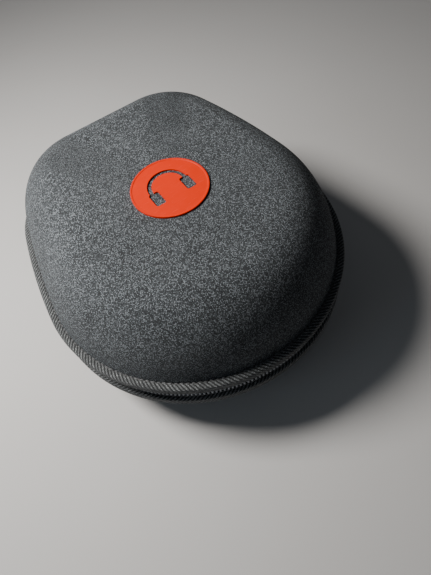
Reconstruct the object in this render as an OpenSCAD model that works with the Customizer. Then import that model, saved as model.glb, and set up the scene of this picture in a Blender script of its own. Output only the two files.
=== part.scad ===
// Zipped clamshell carrying case for folding headphones.
// Two moulded foam shells face each other across a woven zip band and fold on a fabric spine.
// Origin: centre of the footprint, on the surface that the case lies on.
// +Y points to the fabric spine, -Y to the round nose, +Z up. Millimetres.

/* [Outline] */
// Half length of the straight spine edge
spine_half = 23; // [18:1:30]
// Radius of the two corners beside the spine
corner_r = 50; // [46:1:56]
// How far each corner turns
corner_turn = 76; // [72:1:78]
// Radius of the long, slightly bowed sides
side_r = 350; // [280:10:500]
// How far each side turns
side_turn = 10; // [8:1:12]

/* [Heights] */
// Height of the lower shell, up to its rim band
base_h = 30; // [24:1:36]
// Height of the whole zip band
band_h = 20; // [20:0.5:24]
// Height of the lid above the band, without the crown
lid_h = 34; // [28:1:40]
// Extra rise of the lid's crown
lid_crown = 4; // [0:0.5:6]

/* [Edges] */
// Width of the lid's rounded edge
lid_round = 28; // [20:1:30]
// How far the lid's wall leans in over its height
lid_lean = 4; // [0:0.5:6]
// Width of the base's rounded edge
base_round = 23; // [18:1:28]
// Squareness of the rounded edges, where 2 is a true ellipse
edge_power = 2; // [1.8:0.1:2.6]

/* [Layers] */
// Thickness of the knitted outer cover
cover_t = 0.7; // [0.5:0.1:1]
// Thickness of the moulded foam
foam_t = 3.9; // [3:0.1:4.5]
// Thickness of the brushed lining
lining_t = 0.6; // [0.4:0.1:0.8]
// Thickness of the woven binding tape
binding_t = 0.8; // [0.6:0.1:1]
// Thickness of the zip tape
tape_t = 0.7; // [0.5:0.1:0.8]
// How far the rim band stands out past the shells
ledge = 4.4; // [4:0.1:5]

/* [Zip] */
// Width of the closed coil chain
chain_w = 6.4; // [6:0.1:7]
// Thickness of the coils in front of the tape
coil_t = 2.1; // [1.8:0.1:2.2]
// Place of the parked slider around the corner, in degrees from the spine direction
slider_park = 36; // [35:1:40]
// Length of the slider
slider_l = 12; // [10:0.5:13]

/* [Emblem] */
// Radius of the round emblem
emblem_r = 19; // [14:0.5:20]
// Thickness of the emblem
emblem_t = 1; // [0.6:0.1:1.4]

/* [Hidden] */

CHARCOAL = [0.09, 0.095, 0.1];
BLACK = [0.05, 0.05, 0.055];
FOAM_GREY = [0.16, 0.16, 0.17];
TAPE_GREY = [0.11, 0.115, 0.12];
EMBLEM_RED = [0.78, 0.05, 0.03];
GUNMETAL = [0.2, 0.2, 0.21];

// Turning angles along the outline, counted from the spine's direction.
nose_turn = corner_turn + side_turn;
half_width_to_nose = spine_half + corner_r * sin(corner_turn)
    + side_r * (sin(nose_turn) - sin(corner_turn));
nose_r = half_width_to_nose / sin(nose_turn);
length = corner_r * (1 - cos(corner_turn)) + side_r * (cos(corner_turn) - cos(nose_turn))
    + nose_r * (1 + cos(nose_turn));
spine_y = length / 2;
corner_c = [spine_half, spine_y - corner_r];
nose_c = [0, -spine_y + nose_r];
crown_c = [0, -5];

// Steps of each stretch of half the outline. The rails along the band begin at a corner step.
corner_steps = 11;
side_steps = 4;
nose_steps = 14;
rail_start_step = 2;
coil_start_step = 4;
corner_step = corner_turn / corner_steps;

// Levels of the band. The zip line is its middle.
zip_z = base_h + band_h / 2;
flange_t = 3.4;
lid_rim_z = base_h + band_h;
tape_reach = 0.5;
coil_reach = 0.6;
band_leg = binding_t + tape_t;
flange_far = band_h / 2 - binding_t;
flange_near = flange_far - flange_t;
binding_near = flange_near - band_leg;
web_in = ledge - 0.1;
web_out = web_in - tape_t;
wall_in = ledge + cover_t;
foam_in = wall_in + foam_t;
lining_in = foam_in + lining_t;
lid_top_z = lid_rim_z + lid_h + lid_crown;

// Levels of the rounded shells, and of the crown inside them.
wall_levels = 8;
crown_levels = 3;
crown_shrink = 0.55;

// A point of half the outline at a turning angle a, moved in by inset.
function corner_point(a, inset) = corner_c + (corner_r - inset) * [sin(a), cos(a)];
function side_centre() = corner_c - (side_r - corner_r) * [sin(corner_turn), cos(corner_turn)];
function side_point(a, inset) = side_centre() + (side_r - inset) * [sin(a), cos(a)];
function nose_point(a, inset) = nose_c + (nose_r - inset) * [sin(a), cos(a)];
function right_half(inset) = concat(
    [for (i = [0:corner_steps]) corner_point(i * corner_step, inset)],
    [for (i = [1:side_steps]) side_point(corner_turn + i * side_turn / side_steps, inset)],
    [for (i = [1:nose_steps - 1]) nose_point(nose_turn + i * (180 - nose_turn) / nose_steps, inset)]);
function flipped(points) = [for (i = [len(points) - 1:-1:0]) [-points[i].x, points[i].y]];

// The open run of the band from a corner step on the right, round the nose, to the left.
function run(inset, step) = let (half = right_half(inset),
    side = [for (i = [step:len(half) - 1]) half[i]])
    concat(side, [[0, -spine_y + inset]], flipped(side));

// The closed outline, clockwise from the right end of the spine.
function outline(inset) = run(inset, 0);

// The short run across the spine, from the left corner step to the right one.
function spine_run(inset, step) = let (half = right_half(inset),
    side = [for (i = [0:step]) half[i]]) concat(flipped(side), side);

// Profiles are lists of [inset, height, shrink], where shrink pulls a ring towards the crown's centre.
function ring(level) = [for (p = outline(level[0]))
    let (q = p + (crown_c - p) * level[2]) [q.x, q.y, level[1]]];

// The rounded wall of a shell at a depth under its outer skin, from the rim to the crown.
// A superellipse carries the wall over into the flat, and the crown adds a low dome.
function wall_angle(i) = 90 * i / wall_levels;
function round_in(i, width, lean) = (width - lean) * (1 - pow(cos(wall_angle(i)), 2 / edge_power))
    + lean * pow(sin(wall_angle(i)), 2 / edge_power);
function round_up(i, height) = height * pow(sin(wall_angle(i)), 2 / edge_power);
function wall_normal(i) = [cos(wall_angle(i)), sin(wall_angle(i))];
function crown_share(i) = let (s = i / (wall_levels + crown_levels)) s * (2 - s);
function skin(depth, rim_z, height, width, lean, crown) = concat(
    [for (i = [0:wall_levels]) let (n = wall_normal(i))
        [ledge + round_in(i, width, lean) + depth * n.x,
         rim_z + round_up(i, height) - depth * n.y + crown * crown_share(i), 0]],
    [for (i = [1:crown_levels]) [ledge + width, rim_z + height - depth
        + crown * crown_share(wall_levels + i), crown_shrink * i / crown_levels]]);
function lid_skin(depth) = skin(depth, lid_rim_z, lid_h, lid_round, lid_lean, lid_crown);
function base_skin(depth) = [for (p = skin(depth, base_h, base_h, base_round, 0, 0))
    [p[0], 2 * base_h - p[1], p[2]]];
function backwards(list) = [for (i = [len(list) - 1:-1:0]) list[i]];

// Mirrors a profile of the lid's rim to the base's, about the zip line.
function base_rim(profile) = [for (p = profile) [p[0], zip_z - p[1], 0]];

// Distances in a list of [inset, distance from the zip line] become heights on the lid's side.
function lid_rim(profile) = [for (p = profile) [p[0], zip_z + p[1], 0]];

// A thin walled bowl: its profile runs from the crown down one face and up the other.
module bowl(profile, up = true) {
    rings = [for (level = profile) ring(level)];
    n = len(rings[0]);
    m = len(rings);
    points = [for (r = rings) each r];
    walls = [for (j = [0:m - 2], i = [0:n - 1])
        [j * n + i, j * n + (i + 1) % n, (j + 1) * n + (i + 1) % n, (j + 1) * n + i]];
    first = [for (i = [0:n - 1]) i];
    last = [for (i = [n - 1:-1:0]) (m - 1) * n + i];
    faces = concat([backwards(first)], walls, [backwards(last)]);
    polyhedron(points, up ? [for (f = faces) backwards(f)] : faces, convexity = 6);
}

// A solid rail: a closed section of [inset, height] carried along an open run of the band.
module rail(section, step, across_spine = false, mirrored = false) {
    runs = [for (p = section) across_spine ? spine_run(p[0], step) : run(p[0], step)];
    n = len(section);
    m = len(runs[0]);
    points = [for (j = [0:m - 1], i = [0:n - 1]) [runs[i][j].x, runs[i][j].y, section[i][1]]];
    walls = [for (j = [0:m - 2], i = [0:n - 1])
        [j * n + i, j * n + (i + 1) % n, (j + 1) * n + (i + 1) % n, (j + 1) * n + i]];
    first = [for (i = [n - 1:-1:0]) i];
    last = [for (i = [0:n - 1]) (m - 1) * n + i];
    faces = concat([first], walls, [last]);
    polyhedron(points, mirrored ? [for (f = faces) backwards(f)] : faces, convexity = 6);
}

// Puts children on the right corner's arc, with +Y outwards and +X along the band to the nose.
module on_corner(a) {
    translate([corner_c.x, corner_c.y, 0])
        rotate([0, 0, -a])
            children();
}

// A plate bent to the corner's arc, between two insets.
module arc_plate(outer_inset, inner_inset, half_h, half_l) {
    intersection() {
        translate([0, 0, zip_z - half_h])
            difference() {
                cylinder(r = corner_r - outer_inset, h = 2 * half_h, $fn = 180);
                translate([0, 0, -1])
                    cylinder(r = corner_r - inner_inset, h = 2 * half_h + 2, $fn = 180);
            }
        translate([-half_l, corner_r / 2, zip_z - half_h - 2])
            cube([2 * half_l, corner_r, 2 * half_h + 4]);
    }
}

// ---- Shells ----

// The rim of the foam on the lid's side: in under the wall and out along the flange.
foam_rim = [[wall_in, flange_far], [binding_t + 0.1, flange_far],
            [binding_t + 0.1, flange_near], [foam_in, flange_near]];

// The lining's turned edge under that rim.
lining_rim = [[foam_in, flange_near], [ledge, flange_near],
              [ledge, flange_near - lining_t], [lining_in, flange_near - lining_t]];

module base_cover() {
    color(CHARCOAL)
        bowl(concat(backwards(base_skin(0)), base_rim([[ledge, flange_far], [wall_in, flange_far]]),
            base_skin(cover_t)), up = false);
}

module base_foam_shell() {
    color(FOAM_GREY)
        bowl(concat(backwards(base_skin(cover_t)), base_rim(foam_rim),
            base_skin(cover_t + foam_t)), up = false);
}

module base_lining() {
    color(BLACK)
        bowl(concat(backwards(base_skin(cover_t + foam_t)), base_rim(lining_rim),
            base_skin(cover_t + foam_t + lining_t)), up = false);
}

module lid_cover() {
    color(CHARCOAL)
        bowl(concat(backwards(lid_skin(0)), lid_rim([[ledge, flange_far], [wall_in, flange_far]]),
            lid_skin(cover_t)));
}

module lid_foam_shell() {
    color(FOAM_GREY)
        bowl(concat(backwards(lid_skin(cover_t)), lid_rim(foam_rim),
            lid_skin(cover_t + foam_t)));
}

module lid_lining() {
    color(BLACK)
        bowl(concat(backwards(lid_skin(cover_t + foam_t)), lid_rim(lining_rim),
            lid_skin(cover_t + foam_t + lining_t)));
}

// ---- Zip band ----

// A flat run of the band between two insets, from one height above the zip line to another.
module band(outer_inset, inner_inset, low, high) {
    translate([0, 0, low])
        linear_extrude(high - low)
            polygon(concat(run(outer_inset, rail_start_step),
                backwards(run(inner_inset, rail_start_step))));
}

// Woven tape folded round the flange: a C section that is open towards the shell.
// It stands on the lid's side of the zip line.
module binding() {
    translate([0, 0, zip_z]) {
        band(0, ledge, flange_far, flange_far + binding_t);
        band(0, binding_t, binding_near, flange_far + binding_t);
        band(0, web_out, binding_near, binding_near + binding_t);
    }
}

// Zip tape: an upright web behind the coil, turned out under the flange where it is sewn in.
tape_section = [[binding_t + 0.1, flange_near], [binding_t + 0.1, flange_near - tape_t],
    [web_out, flange_near - tape_t], [web_out, tape_reach], [web_in, tape_reach],
    [web_in, flange_near]];

// One half of the coil chain, as the bead that its loops fill.
coil_section = [[web_out, coil_reach], [web_out - coil_t + 0.5, coil_reach],
    [web_out - coil_t, coil_reach + 0.5], [web_out - coil_t, chain_w / 2 - 0.5],
    [web_out - coil_t + 0.5, chain_w / 2], [web_out, chain_w / 2]];

module base_binding() {
    color(TAPE_GREY)
        translate([0, 0, 2 * zip_z])
            mirror([0, 0, 1])
                binding();
}

module lid_binding() {
    color(TAPE_GREY) binding();
}

module base_zip_tape() {
    color(BLACK) rail(base_rim(tape_section), rail_start_step, mirrored = true);
}

module lid_zip_tape() {
    color(BLACK) rail(lid_rim(tape_section), rail_start_step);
}

module base_zip_coil() {
    color(BLACK) rail(base_rim(coil_section), coil_start_step, mirrored = true);
}

module lid_zip_coil() {
    color(BLACK) rail(lid_rim(coil_section), coil_start_step);
}

// A moulded stop at each end of a coil. side is 1 on the lid and -1 on the base.
stop_l = 2.4;
stop_at = coil_start_step * corner_step - 2.2;
module zip_stops(side) {
    low = side > 0 ? zip_z + coil_reach : zip_z - chain_w / 2;
    for (flip = [0, 1])
        mirror([flip, 0, 0])
            on_corner(stop_at)
                translate([-stop_l / 2, corner_r - web_out + 0.1, low])
                    cube([stop_l, coil_t, chain_w / 2 - coil_reach]);
}

module base_zip_stops() {
    color(BLACK) zip_stops(-1);
}

module lid_zip_stops() {
    color(BLACK) zip_stops(1);
}

// ---- Spine ----

module spine_cover() {
    color(CHARCOAL)
        rail([[0, zip_z + band_h / 2], [0, zip_z - band_h / 2],
              [binding_t, zip_z - band_h / 2], [binding_t, zip_z + band_h / 2]],
            rail_start_step, across_spine = true);
}

module spine_lining() {
    color(BLACK)
        rail([[web_out, zip_z + flange_near], [web_out, zip_z - flange_near],
              [web_in, zip_z - flange_near], [web_in, zip_z + flange_near]],
            rail_start_step, across_spine = true);
}

// ---- Lid trim ----

// A plain pair of headphones seen from the front, cut out of the disc.
arch_r = 10.2;
arch_w = 2.2;
cup_w = 5.2;
cup_h = 8.6;
module headphone_sign() {
    difference() {
        circle(r = arch_r, $fn = 96);
        circle(r = arch_r - arch_w, $fn = 96);
        translate([-2 * arch_r, -2 * arch_r])
            square([4 * arch_r, 2 * arch_r]);
    }
    for (side = [-1, 1])
        translate([side * (arch_r - cup_w / 2 + 0.9), -cup_h / 2 - 0.1]) {
            square([cup_w - 2, cup_h], center = true);
            square([cup_w, cup_h - 2], center = true);
            for (x = [-1, 1], y = [-1, 1])
                translate([x * (cup_w / 2 - 1), y * (cup_h / 2 - 1)])
                    circle(r = 1, $fn = 24);
        }
}

module emblem() {
    color(EMBLEM_RED)
        translate([crown_c.x, crown_c.y, lid_top_z])
            difference() {
                cylinder(r = emblem_r, h = emblem_t, $fn = 128);
                translate([0, 1.4, -1])
                    linear_extrude(emblem_t + 2)
                        headphone_sign();
            }
}

// The accessory pocket lies under the lid's roof, from the nose to a straight elastic hem.
pocket_z = lid_top_z - 17;
pocket_hem_y = 16;
pocket_t = 0.6;
hem_w = 7;
hem_t = 1.8;
pocket_inset = 17.8;
module pocket_plan(inset) {
    intersection() {
        polygon(outline(inset));
        translate([-length, -length])
            square([2 * length, length + pocket_hem_y]);
    }
}

module pocket_mesh() {
    color(TAPE_GREY)
        translate([0, 0, pocket_z])
            linear_extrude(pocket_t)
                difference() {
                    pocket_plan(pocket_inset);
                    translate([-length, pocket_hem_y - hem_w])
                        square([2 * length, hem_w + 1]);
                }
}

module pocket_elastic() {
    color(BLACK)
        translate([0, 0, pocket_z - (hem_t - pocket_t) / 2])
            linear_extrude(hem_t)
                intersection() {
                    pocket_plan(pocket_inset);
                    translate([-length, pocket_hem_y - hem_w])
                        square([2 * length, hem_w]);
                }
}

// ---- Slider and pull ----

wing_half_h = 3.6;
wing_out = -0.9;
wing_in = 0.3;
rear_wing_out = web_in + 0.3;
rear_wing_in = rear_wing_out + 1.1;
post_half_h = 0.3;
bail_half_l = 4.2;
bail_half_h = 0.8;
bail_rise = 4;
bail_window_half = 2.9;
bail_window_rise = 2.8;
pin_r = 0.8;
pin_y = corner_r - wing_out + 1.8;
pull_lean = 10;
arm_t = 1.3;
arm_l = 5.6;
tab_half_h = 3.4;
tab_l = 17;
grip_start = 8;
grip_l = 16;
grip_half_h = 4.3;
grip_half_t = 1.6;

module slider_body() {
    color(GUNMETAL)
        on_corner(slider_park) {
            arc_plate(wing_out, wing_in, wing_half_h, slider_l / 2);
            arc_plate(rear_wing_out, rear_wing_in, wing_half_h - 0.4, slider_l / 2);
            translate([-slider_l / 2 + 0.8, corner_r - rear_wing_out - 0.6, zip_z - post_half_h])
                cube([2.4, rear_wing_out - wing_in + 0.7, 2 * post_half_h]);
        }
}

module slider_bail() {
    color(GUNMETAL)
        on_corner(slider_park)
            translate([0, corner_r - wing_out, zip_z - bail_half_h])
                difference() {
                    translate([-bail_half_l, 0, 0])
                        cube([2 * bail_half_l, bail_rise, 2 * bail_half_h]);
                    translate([-bail_window_half, -1, -1])
                        cube([2 * bail_window_half, bail_window_rise + 1, 2 * bail_half_h + 2]);
                }
}

// The tab's crossbar sits in the bail, and its two arms pass above and below it.
module pull_tab() {
    color(GUNMETAL)
        on_corner(slider_park)
            translate([0, pin_y, zip_z])
                rotate([0, 0, -pull_lean]) {
                    translate([0, 0, -tab_half_h])
                        cylinder(r = pin_r, h = 2 * tab_half_h, $fn = 48);
                    for (side = [-1, 1])
                        translate([0, -pin_r, side * (tab_half_h - arm_t / 2) - arm_t / 2])
                            cube([arm_l, 2 * pin_r, arm_t]);
                    translate([arm_l - 0.4, -pin_r, -tab_half_h])
                        cube([tab_l - arm_l, 2 * pin_r, 2 * tab_half_h]);
                }
}

module pull_grip() {
    color(BLACK)
        on_corner(slider_park)
            translate([0, pin_y, zip_z])
                rotate([0, 0, -pull_lean])
                    difference() {
                        translate([grip_start, -grip_half_t, -grip_half_h])
                            cube([grip_l, 2 * grip_half_t, 2 * grip_half_h]);
                        translate([grip_start - 1, -pin_r, -tab_half_h])
                            cube([tab_l - grip_start + 1, 2 * pin_r, 2 * tab_half_h]);
                    }
}

base_cover();
base_foam_shell();
base_lining();
base_binding();
base_zip_tape();
base_zip_coil();
base_zip_stops();
spine_cover();
spine_lining();
lid_cover();
lid_foam_shell();
lid_lining();
lid_binding();
lid_zip_tape();
lid_zip_coil();
lid_zip_stops();
emblem();
pocket_mesh();
pocket_elastic();
slider_body();
slider_bail();
pull_tab();
pull_grip();
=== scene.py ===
"""Moulded carrying case for folding headphones: knit skins, woven rims, coil zip, fabric spine."""

import math

import bmesh
import bpy
from mathutils import Matrix, Vector


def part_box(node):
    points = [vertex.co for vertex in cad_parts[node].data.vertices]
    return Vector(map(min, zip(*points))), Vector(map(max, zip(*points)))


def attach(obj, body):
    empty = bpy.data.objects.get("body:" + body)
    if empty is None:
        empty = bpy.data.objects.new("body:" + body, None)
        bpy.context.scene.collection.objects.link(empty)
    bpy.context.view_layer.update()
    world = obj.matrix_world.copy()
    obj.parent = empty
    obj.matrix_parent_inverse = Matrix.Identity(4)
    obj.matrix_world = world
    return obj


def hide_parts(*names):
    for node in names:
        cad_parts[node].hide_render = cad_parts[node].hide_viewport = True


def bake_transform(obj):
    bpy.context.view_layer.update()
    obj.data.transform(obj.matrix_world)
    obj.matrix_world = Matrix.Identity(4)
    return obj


bl_info = {
    "name": "Zipped headphone case",
    "version": (1, 0, 0),
    "blender": (4, 5, 0),
    "location": "3D View > Sidebar > Case",
    "description": "Builds a moulded, zipped carrying case around its frame",
    "category": "Add Mesh",
}

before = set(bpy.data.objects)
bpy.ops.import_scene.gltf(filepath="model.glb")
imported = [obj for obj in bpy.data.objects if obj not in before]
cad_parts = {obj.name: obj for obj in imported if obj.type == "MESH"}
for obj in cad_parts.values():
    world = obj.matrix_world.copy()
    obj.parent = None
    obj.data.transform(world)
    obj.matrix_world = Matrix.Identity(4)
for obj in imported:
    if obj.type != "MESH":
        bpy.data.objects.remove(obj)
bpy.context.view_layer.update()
MM = 0.001

# The rim's outline, in millimetres: a straight spine edge, then a corner, a long side and the nose.
SPINE_HALF, CORNER_R, SIDE_R = 23.0, 50.0, 350.0
CORNER_TURN, SIDE_TURN = math.radians(76), math.radians(10)
NOSE_TURN = CORNER_TURN + SIDE_TURN


def heading(turn):
    """The rim's outward normal after it has turned through an angle from the spine."""
    return Vector((math.sin(turn), math.cos(turn)))


NOSE_R = (SPINE_HALF + CORNER_R * math.sin(CORNER_TURN)
          + SIDE_R * (math.sin(NOSE_TURN) - math.sin(CORNER_TURN))) / math.sin(NOSE_TURN)
LENGTH = (CORNER_R * (1 - math.cos(CORNER_TURN)) + SIDE_R * (math.cos(CORNER_TURN) - math.cos(NOSE_TURN))
          + NOSE_R * (1 + math.cos(NOSE_TURN)))
SPINE_Y = LENGTH / 2
CORNER_C = Vector((SPINE_HALF, SPINE_Y - CORNER_R))
SIDE_C = CORNER_C - (SIDE_R - CORNER_R) * heading(CORNER_TURN)
NOSE_C = Vector((0, NOSE_R - SPINE_Y))
CORNER_S = SPINE_HALF + CORNER_R * CORNER_TURN
SIDE_S = CORNER_S + SIDE_R * SIDE_TURN
HALF_RIM = SIDE_S + NOSE_R * (math.pi - NOSE_TURN)
CROWN_C = Vector((0, -5))

# Heights of the shells and the band, and how far each shell's wall turns in below its crown.
BASE_H, BAND_H, LID_H, CROWN_H = 30.0, 20.0, 34.0, 4.0
LID_ROUND, BASE_ROUND, LID_LEAN = 28.0, 23.0, 4.0
ZIP_Z = BASE_H + BAND_H / 2
CROWN_Z = BASE_H + BAND_H + LID_H + CROWN_H

# The ledge's width and the layers' thicknesses.
LEDGE, COVER_T, FOAM_T, LINING_T, BINDING_T, TAPE_T = 4.4, 0.7, 3.9, 0.6, 0.8, 0.7

# Distances from the zip line to the far and near face of a shell's flange.
FLANGE_FAR, FLANGE_NEAR = 9.2, 5.8

# Insets of the zip tape's web, which stands behind the coil.
WEB_IN = LEDGE - 0.1
WEB_OUT = WEB_IN - TAPE_T

# Rings of the walls and crowns. A crown swells over the frame's 11 levels, of which 8 are on the wall.
WALL_LEVELS, FRAME_LEVELS, FRAME_WALL = 40, 11, 8
CROWN_RINGS, CROWN_SHRINK, CROWN_REACH = 14, 0.55, 50.0

# How far the skin's foot flares over the ledge, and the height over which it fades.
FOOT_FLARE, FOOT_RISE = 0.5, 1.2

# Distances along the rim from the spine's middle: the start of the bindings and tapes, the start of the
# coil, and the end of the stretch in which the slider's neck passes. The frame's corner has 11 steps.
CORNER_STEP = CORNER_R * CORNER_TURN / 11
RAIL_START = SPINE_HALF + 2 * CORNER_STEP
COIL_START = SPINE_HALF + 4 * CORNER_STEP
SLIDER_END = SPINE_HALF + CORNER_R * math.radians(78)

# Spacing of a bowl's columns and of a swept tape's rings along the rim.
COLUMN_SPACING, RING_SPACING = 3.0, 2.0

# The net pocket: its height, its inset from the outline, and its hem's edge, width and thickness.
POCKET_Z, POCKET_INSET = CROWN_Z - 17, 17.8
HEM_Y, HEM_W, HEM_T = 16.0, 7.0, 1.8
NET_EYE = 0.0032

# A piece's side of the zip line.
LID, BASE = 1, -1


def rim(s):
    """A point of the rim and its outward normal, s mm from the spine's middle.
    The way leads right along the spine, down the side and round the nose."""
    if s < 0 or s > HALF_RIM:
        point, normal = rim(-s if s < 0 else 2 * HALF_RIM - s)
        return Vector((-point.x, point.y)), Vector((-normal.x, normal.y))
    if s < SPINE_HALF:
        return Vector((s, SPINE_Y)), Vector((0, 1))
    if s < CORNER_S:
        normal = heading((s - SPINE_HALF) / CORNER_R)
        return CORNER_C + CORNER_R * normal, normal
    if s < SIDE_S:
        normal = heading(CORNER_TURN + (s - CORNER_S) / SIDE_R)
        return SIDE_C + SIDE_R * normal, normal
    normal = heading(NOSE_TURN + (s - SIDE_S) / NOSE_R)
    return NOSE_C + NOSE_R * normal, normal


def stretch(start, end, spacing):
    """Evenly spaced distances along the rim."""
    count = max(2, round((end - start) / spacing))
    return [start + (end - start) * i / count for i in range(count + 1)]


def deselect():
    """Leaves edit mode and selects nothing."""
    if bpy.context.mode != "OBJECT":
        bpy.ops.object.mode_set(mode="OBJECT")
    bpy.ops.object.select_all(action="DESELECT")


def activate(obj):
    """Makes a piece the only selected one, and the active one."""
    deselect()
    obj.select_set(True)
    bpy.context.view_layer.objects.active = obj


def settle(obj, smooth_angle=35):
    """Puts a piece's place into its mesh and smooths it up to an angle."""
    activate(obj)
    bpy.ops.object.transform_apply(location=True, rotation=True, scale=True)
    bpy.ops.object.shade_smooth_by_angle(angle=math.radians(smooth_angle))
    return obj


def finish_modifiers(obj):
    """Applies a piece's modifiers, in their order."""
    activate(obj)
    for modifier in list(obj.modifiers):
        bpy.ops.object.modifier_apply(modifier=modifier.name)


def new_mesh_object(name, vertices, faces, uvs=None):
    """A piece from points in millimetres, and from UVs in metres, one pair to each point, if given."""
    mesh = bpy.data.meshes.new(name)
    mesh.from_pydata([(x * MM, y * MM, z * MM) for x, y, z in vertices], [], faces)
    if uvs:
        layer = mesh.uv_layers.new(name="cloth")
        for loop in mesh.loops:
            layer.data[loop.index].uv = uvs[loop.vertex_index]
    obj = bpy.data.objects.new(name, mesh)
    bpy.context.scene.collection.objects.link(obj)
    return obj


def put_on(obj, material):
    """Gives a piece its only material."""
    obj.data.materials.clear()
    obj.data.materials.append(material)


# ---- Shapes ----


def shell_profile(depth, side):
    """[inset, height, shrink] from the rim to the crown of a shell's face at a depth under its outer skin.
    The skin's foot flares out over the ledge, where the laminate turns into its flange."""
    if side == LID:
        level, height, width, lean, crown = BASE_H + BAND_H, LID_H, LID_ROUND, LID_LEAN, CROWN_H
    else:
        level, height, width, lean, crown = BASE_H, BASE_H, BASE_ROUND, 0.0, 0.0
    rows = []
    for i in range(WALL_LEVELS + 1):
        angle = math.pi / 2 * i / WALL_LEVELS
        share = FRAME_WALL / FRAME_LEVELS * i / WALL_LEVELS
        rise = height * math.sin(angle) - depth * math.sin(angle) + crown * share * (2 - share)
        flare = FOOT_FLARE * math.exp(-max(rise, 0) / FOOT_RISE) if depth < COVER_T else 0.0
        turned_in = (width - lean) * (1 - math.cos(angle)) + lean * math.sin(angle)
        rows.append((LEDGE + turned_in + depth * math.cos(angle) - flare, rise, 0.0))
    for i in range(1, CROWN_RINGS):
        shrink = i / CROWN_RINGS
        roof = (FRAME_LEVELS - FRAME_WALL) * min(shrink / CROWN_SHRINK, 1)
        share = min(1.0, (FRAME_WALL + roof) / FRAME_LEVELS)
        rows.append((LEDGE + width, height - depth + crown * share * (2 - share), shrink))
    return [(inset, level + side * rise, shrink) for inset, rise, shrink in rows]


def bowl(name, outer_depth, inner_depth, rim_rows, side):
    """A closed bowl between two depths, with UVs as if its cloth had been drawn over it from a flat
    sheet."""
    profile = shell_profile(outer_depth, side)[::-1] + rim_rows + shell_profile(inner_depth, side)
    columns = stretch(0, 2 * HALF_RIM, COLUMN_SPACING)[:-1]
    n = len(columns)
    vertices, uvs = [], []
    stations = [rim(s) for s in columns]
    walked = [0.0] * n
    last = [Vector((CROWN_C.x, CROWN_C.y, profile[0][1]))] * n
    for inset, height, shrink in profile:
        for j, (point, normal) in enumerate(stations):
            out = (point - CROWN_C).normalized()
            p = (point - normal * inset).lerp(CROWN_C + out * CROWN_REACH, shrink * (2 - shrink))
            p += (CROWN_C - p) * shrink
            here = Vector((p.x, p.y, height))
            walked[j] += (here - last[j]).length
            last[j] = here
            vertices.append(here)
            uvs.append((out.x * walked[j] * MM, out.y * walked[j] * MM))
    faces = []
    for i in range(len(profile) - 1):
        for j in range(n):
            k = (j + 1) % n
            faces.append((i * n + j, i * n + k, (i + 1) * n + k, (i + 1) * n + j))
    for row, backward in ((0, True), (len(profile) - 1, False)):
        centre = len(vertices)
        vertices.append(Vector((CROWN_C.x, CROWN_C.y, profile[row][1])))
        uvs.append((0.0, 0.0))
        for j in range(n):
            k = (j + 1) % n
            a, b = row * n + j, row * n + k
            faces.append((centre, b, a) if backward else (centre, a, b))
    obj = new_mesh_object(name, vertices, faces, uvs)
    face_outwards(obj)
    return settle(obj, 50)


def face_outwards(obj):
    """Turns all the faces of a closed piece outwards."""
    activate(obj)
    bpy.ops.object.mode_set(mode="EDIT")
    bpy.ops.mesh.select_all(action="SELECT")
    bpy.ops.mesh.normals_make_consistent(inside=False)
    bpy.ops.object.mode_set(mode="OBJECT")


def swept(name, section, distances, side=LID):
    """A closed section of (inset, height over the zip line), carried along the rim and capped."""
    n = len(section)
    around = [0.0]
    for a, b in zip(section, section[1:]):
        around.append(around[-1] + math.dist(a, b))
    vertices, uvs = [], []
    for s in distances:
        point, normal = rim(s)
        for (inset, height), v in zip(section, around):
            p = point - normal * inset
            vertices.append((p.x, p.y, ZIP_Z + side * height))
            uvs.append((s * MM, v * MM))
    faces = []
    for i in range(len(distances) - 1):
        for j in range(n):
            k = (j + 1) % n
            faces.append((i * n + j, i * n + k, (i + 1) * n + k, (i + 1) * n + j))
    faces.append(tuple(range(n - 1, -1, -1)))
    faces.append(tuple((len(distances) - 1) * n + j for j in range(n)))
    obj = new_mesh_object(name, vertices, faces, uvs)
    face_outwards(obj)
    return settle(obj, 50)


def repeated(name, unit, places, inset, height, side=LID):
    """Copies a small unit, made along X with Y outwards, to places along the rim, and removes it."""
    source = unit.data
    shape = [v.co / MM for v in source.vertices]
    polygons = [tuple(p.vertices) for p in source.polygons]
    vertices, faces = [], []
    for s in places:
        point, normal = rim(s)
        tangent = Vector((normal.y, -normal.x))
        base = point - normal * inset
        first = len(vertices)
        for v in shape:
            p = base + tangent * v.x + normal * v.y
            vertices.append((p.x, p.y, ZIP_Z + side * (height + v.z)))
        faces.extend(tuple(first + i for i in polygon) for polygon in polygons)
    bpy.data.objects.remove(unit)
    obj = new_mesh_object(name, vertices, faces)
    face_outwards(obj)
    return settle(obj, 60)


def stitch_unit(length, width, height):
    """One stitch: a low rounded bead of thread that lies along X."""
    deselect()
    bpy.ops.mesh.primitive_uv_sphere_add(segments=8, ring_count=5, radius=1)
    unit = bpy.context.active_object
    bpy.ops.object.mode_set(mode="EDIT")
    bpy.ops.mesh.select_all(action="SELECT")
    bpy.ops.transform.resize(value=(length / 2 * MM, width / 2 * MM, height / 2 * MM))
    bpy.ops.object.mode_set(mode="OBJECT")
    return unit


def block(name, size, centre, bevel, segments=3):
    """A bevelled block, in millimetres, for hard parts and cutters."""
    deselect()
    bpy.ops.mesh.primitive_cube_add(size=1, location=[c * MM for c in centre])
    obj = bpy.context.active_object
    obj.name = name
    obj.scale = [s * MM for s in size]
    bpy.ops.object.transform_apply(location=True, rotation=True, scale=True)
    if bevel:
        modifier = obj.modifiers.new("round", "BEVEL")
        modifier.width = bevel * MM
        modifier.segments = segments
        finish_modifiers(obj)
    return obj


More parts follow.
